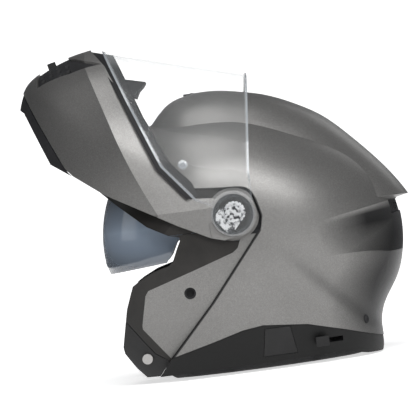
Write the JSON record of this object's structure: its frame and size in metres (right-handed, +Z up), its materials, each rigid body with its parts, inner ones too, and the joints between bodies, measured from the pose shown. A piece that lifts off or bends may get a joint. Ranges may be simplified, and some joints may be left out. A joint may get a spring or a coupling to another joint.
{
  "type": "modular motorcycle helmet",
  "caption": "Flip-up full-face helmet with a raised chin bar, clear visor on side hubs, drop-down sun visor, rear spoiler and padded lining.",
  "frame": {"origin": "middle of the underside plane at the helmet's overall length and width, on z = 0", "axes": "+X to the rear (the face looks along -X), -Y to the rider's left, +Z up"},
  "size_m": [0.3541, 0.258, 0.3178],
  "materials": {
    "shell_paint": "satin metallic grey paint over moulded shell",
    "trim_black": "satin black moulding",
    "rubber_black": "matt black rubber",
    "lining_foam": "matt black expanded foam, light",
    "lining_cloth": "dark navy and black padded cloth",
    "clear_visor": "clear polished polycarbonate",
    "smoke_visor": "smoked blue-grey polycarbonate",
    "silver_metal": "bright cast metal",
    "steel": "polished steel",
    "webbing": "black woven webbing"
  },
  "bodies": {
    "helmet": {"outer_shell": "shell_paint", "eyeport_trim": "trim_black", "side_trim_left": "trim_black", "side_trim_right": "trim_black", "lower_cover_left": "trim_black", "lower_cover_right": "trim_black", "bottom_skirt": "trim_black", "intercom_cover": "trim_black", "top_vent_grille": "trim_black", "extractor_grille": "trim_black", "eps_liner": "lining_foam", "crown_pad": "lining_cloth", "cheek_pad_left": "lining_cloth", "cheek_pad_right": "lining_cloth", "neck_roll": "lining_cloth", "pivot_plate_left": "steel", "pivot_plate_right": "steel", "striker_pins": "steel", "panel_plugs": "rubber_black", "sun_visor_pins": "steel", "chin_strap_left": "webbing", "chin_strap_right": "webbing", "strap_anchors": "steel", "buckle_body": "steel", "buckle_pin": "steel", "buckle_tongue": "trim_black"},
    "chin_bar": {"chin_bar_shell": "shell_paint", "chin_bar_liner": "lining_foam", "chin_bar_frame": "rubber_black", "chin_edge_trim": "rubber_black", "chin_curtain": "lining_cloth", "chin_vent_grille": "trim_black", "breath_guard": "rubber_black", "pivot_cap_left": "shell_paint", "pivot_cap_right": "shell_paint", "ratchet_base_left": "trim_black", "ratchet_base_right": "trim_black", "ratchet_left": "silver_metal", "ratchet_right": "silver_metal"},
    "visor": {"visor": "clear_visor", "pinlock_pins": "clear_visor"},
    "sun_visor": {"sun_visor": "smoke_visor"},
    "sun_lever": {"sun_visor_lever": "trim_black"},
    "top_vent_slide": {"top_vent_slider": "trim_black"},
    "chin_vent_slide": {"chin_vent_slider": "trim_black"},
    "release_button": {"release_button": "trim_black"},
    "latch_catch_left": {"latch_catch_left": "steel"},
    "latch_catch_right": {"latch_catch_right": "steel"},
    "buckle_lever": {"buckle_lever": "silver_metal"}
  },
  "joints": [
    {"name": "chin_bar_pivot", "type": "hinge", "parent": "helmet", "child": "chin_bar", "pos_m": [0.009, 0, 0.146], "axis": [0, 1, 0], "range_deg": [-77, 0]},
    {"name": "visor_pivot", "type": "hinge", "parent": "chin_bar", "child": "visor", "pos_m": [0.009, 0, 0.146], "axis": [0, 1, 0], "range_deg": [0, 36]},
    {"name": "sun_visor_pivot", "type": "hinge", "parent": "helmet", "child": "sun_visor", "pos_m": [0.0046, 0, 0.1274], "axis": [0, 1, 0], "range_deg": [0, 42]},
    {"name": "sun_lever_slide", "type": "slide", "parent": "helmet", "child": "sun_lever", "axis": [1, 0, 0], "range_m": [0, 0.016]},
    {"name": "top_vent_slide", "type": "slide", "parent": "helmet", "child": "top_vent_slide", "axis": [1, 0, 0], "range_m": [0, 0.006]},
    {"name": "chin_vent_slide", "type": "slide", "parent": "chin_bar", "child": "chin_vent_slide", "axis": [0.9744, 0, 0.225], "range_m": [0, 0.005]},
    {"name": "release_button_press", "type": "slide", "parent": "chin_bar", "child": "release_button", "axis": [0.9744, 0, 0.225], "range_m": [0, 0.0025], "stiffness_N_per_m": 900},
    {"name": "latch_left_close", "type": "slide", "parent": "chin_bar", "child": "latch_catch_left", "axis": [0, 1, 0], "range_m": [0, 0.0042]},
    {"name": "latch_right_close", "type": "slide", "parent": "chin_bar", "child": "latch_catch_right", "axis": [0, -1, 0], "range_m": [0, 0.0042]},
    {"name": "buckle_lever_hinge", "type": "hinge", "parent": "helmet", "child": "buckle_lever", "pos_m": [-0.007, -0.01333, 0.0139], "axis": [1, 0, 0], "range_deg": [0, 45]}
  ],
  "couplings": [
    {"joint": "sun_lever_slide", "follows": "sun_visor_pivot", "m_per_rad": 0.02181},
    {"joint": "latch_right_close", "follows": "latch_left_close", "ratio": 1}
  ]
}
